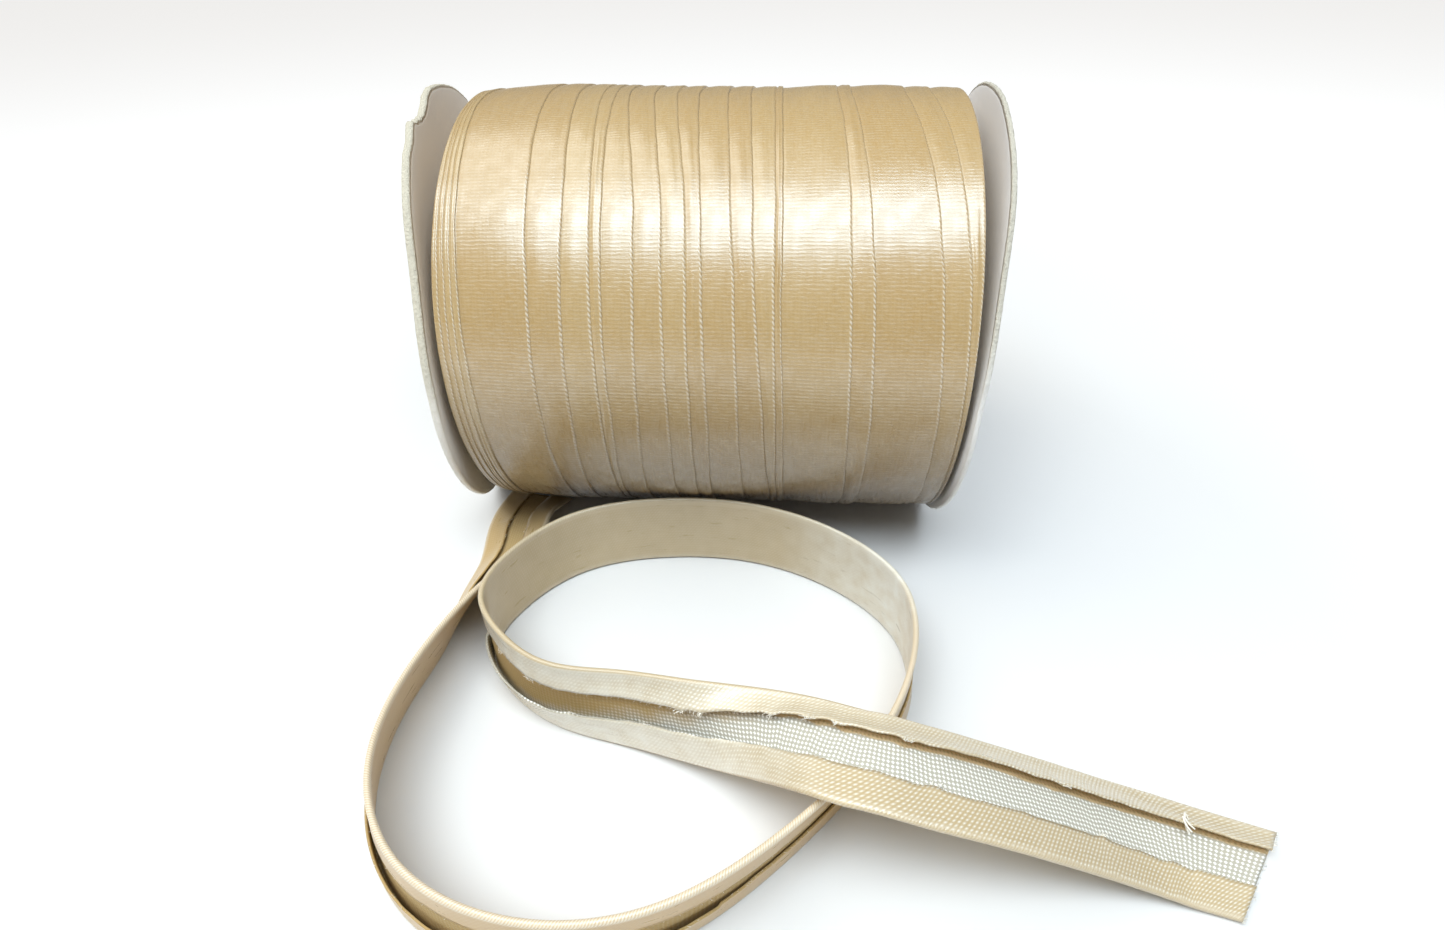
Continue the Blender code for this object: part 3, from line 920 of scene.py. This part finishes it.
def rimRadius(rim, degrees, seed):
    angles, radii = zip(*rim)
    place = (degrees + 90.0) % 360.0 - 90.0
    at = int(np.clip(np.searchsorted(angles, place, side="right") - 1, 0, len(angles) - 2))
    part = (place - angles[at]) / (angles[at + 1] - angles[at])
    part = part * part * (3 - 2 * part)
    radius = radii[at] * (1 - part) + radii[at + 1] * part
    return radius + disc["rimWaver"] * waver(seed, math.radians(degrees), (31, 53, 97, 140))


def faceAt(side, y, z):
    # Where a disc's inner face is along the roll, from how it leans
    values = disc[side]
    rise = z - roll["axisHeight"]
    lean = values["leanNear"] * y if y < 0 else values["leanFar"] * y
    return values["x"] + lean + (values["leanUp"] * rise if rise > 0 else values["leanDown"] * rise)


def makeDisc(name, side):
    values = disc[side]
    thick, seed = values["thick"], values["seed"]
    count = disc["segments"]
    layers = [(share, 0.0, 0.0) for share in disc["face"]] + disc["edge"]
    layers += [(share, 1.0, 0.0) for share in reversed(disc["face"])]
    radii = [rimRadius(values["rim"], 360 * i / count - 90, seed) for i in range(count)]
    points, cut = [], []
    for layer, (share, depth, torn) in enumerate(layers):
        for i, radius in enumerate(radii):
            angle = math.tau * i / count - math.pi / 2
            rough = disc["tornWaver"] * waver(seed + 50 + layer, angle, (61, 113, 170)) if torn else 0.0
            dent = disc["dent"] * waver(seed + 9, angle, (2, 3, 5)) * share**2
            y = -(radius * share + rough) * math.cos(angle)
            z = max(roll["axisHeight"] + (radius * share + rough) * math.sin(angle), 0.0)
            points.append((faceAt(side, y, z) + depth * thick + dent + rollX, y + rollY, z))
            frays = 1 / (1 + math.exp(-(math.degrees(angle) - values["cutFrom"]) / 4))
            cut.append(torn * (0.25 + 0.75 * frays))
    faces = []
    for a in range(len(layers) - 1):
        for i in range(count):
            j = (i + 1) % count
            faces.append((a * count + i, a * count + j, (a + 1) * count + j, (a + 1) * count + i))
    middle = faceAt(side, 0.0, roll["axisHeight"]) + rollX
    for offset, first in ((0.0, 0), (thick, (len(layers) - 1) * count)):
        points.append((middle + offset, rollY, roll["axisHeight"]))
        cut.append(0.0)
        faces += [(len(points) - 1, first + i, first + (i + 1) % count) for i in range(count)]
    mesh = bpy.data.meshes.new(name)
    mesh.from_pydata([tuple(p) for p in np.array(points) * mm], [], faces)
    mesh.attributes.new("cut", "FLOAT", "POINT").data.foreach_set("value", cut)
    turned = bmesh.new()
    turned.from_mesh(mesh)
    bmesh.ops.recalc_face_normals(turned, faces=turned.faces)
    turned.to_mesh(mesh)
    turned.free()
    mesh.shade_smooth()
    mesh.materials.append(cardFinish(name, values))
    return addObject(name, mesh)


def cardFinish(name, values):
    low, torn = values["low"], values["torn"]
    finish = Finish(name)
    where = finish.objectPlace()
    cut = finish.reading("cut")
    grain = finish.noise(where, disc["grainScale"], 4.0, 0.65)
    soft = finish.noise(where, disc["softScale"], 3.0)
    fibres = finish.noise(where, disc["fibreScale"], 3.0, 0.7)
    # painted light and shade: a face's colour goes from low near the table to high near its top
    face = finish.mix((finish.height(where) * 18 - 0.35 + 0.4 * soft).clip(), low, values["high"])
    plain = finish.mix(grain * 0.25, face, tuple(c * 0.8 for c in low))
    rough = finish.mix(fibres, tuple(c * 0.66 for c in torn), torn)
    finish.set(Base_Color=finish.mix(cut, plain, rough), Roughness=0.55 + 0.35 * cut,
               Specular_IOR_Level=0.35)
    finish.bump(grain * (0.2 + cut * 1.6) + fibres * cut * 1.5, disc["relief"])
    return finish.material


floor = {
    "reach": 3.0,
    "below": 0.0002,
    "paper": (0.78, 0.78, 0.78, 1),
    "glowFrom": 0.10,
    "glow": (0.38, 0.39, 0.41),
}


def makeFloor():
    # Pale paper with a painted glow that grows away from the object
    mesh = bpy.data.meshes.new("floor")
    reach, low = floor["reach"], -floor["below"]
    mesh.from_pydata([(-reach, -reach, low), (reach, -reach, low), (reach, reach, low),
                      (-reach, reach, low)], [], [(0, 1, 2, 3)])
    obj = addObject("floor", mesh)
    paper = Finish("paperFloor")
    away = paper.add("ShaderNodeVectorMath", {"operation": "LENGTH"}, {0: paper.objectPlace()}, out=1)
    glow = ((away - floor["glowFrom"]) * 4).clip()
    paper.set(Base_Color=floor["paper"], Roughness=0.9, Specular_IOR_Level=0.1, Emission_Strength=1.0,
              Emission_Color=paper.mix(glow, (0.0, 0.0, 0.0), floor["glow"]))
    mesh.materials.append(paper.material)


def makeLight():
    world = bpy.data.worlds.new("studio")
    world.use_nodes = True
    back = world.node_tree.nodes["Background"]
    back.inputs["Color"].default_value = (*look["worldTint"], 1)
    back.inputs["Strength"].default_value = look["world"]
    bpy.context.scene.world = world
    key = bpy.data.lights.new("keyLight", "AREA")
    key.shape = "RECTANGLE"
    key.size, key.size_y = look["keySize"]
    key.energy = look["keyPower"]
    key.color = look["keyTint"]
    obj = addObject("keyLight", key)
    obj.location = look["keyPlace"]
    target = Vector((rollX * mm, 0.0, look["keyAim"]))
    aim = (target - Vector(look["keyPlace"])).to_track_quat("-Z", "Y").to_matrix()
    obj.rotation_euler = (aim @ Matrix.Rotation(math.radians(look["keyTurn"]), 3, "Z")).to_euler()
    sun = bpy.data.lights.new("roomLight", "SUN")
    sun.energy = look["sunPower"]
    sun.color = look["sunTint"]
    sun.angle = math.radians(look["sunAngle"])
    obj = addObject("roomLight", sun)
    obj.rotation_euler = Vector(look["sunFrom"]).to_track_quat("Z", "Y").to_euler()


makeCamera()
makeFloor()
makeLight()
bpy.context.scene.view_settings.view_transform = "Standard"

woundTape = makeWoundTape()
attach(woundTape, "root")
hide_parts("wound_tape")
print("wound tape done")

looseTape, tapeLength, rawEdge = makeLooseTape()
looseTapeFray = makeFray(rawEdge)
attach(looseTapeFray, "root")
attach(looseTape, "root")
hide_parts("loose_tape")
round(tapeLength * mm, 3)
print("loose tape done")

cardLeft = makeDisc("cardLeft", "left")
cardRight = makeDisc("cardRight", "right")
for card, node, slot in ((cardLeft, "end_disc_left", "card_left"),
                         (cardRight, "end_disc_right", "card_right")):
    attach(card, "root")
    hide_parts(node)
print("end discs done")
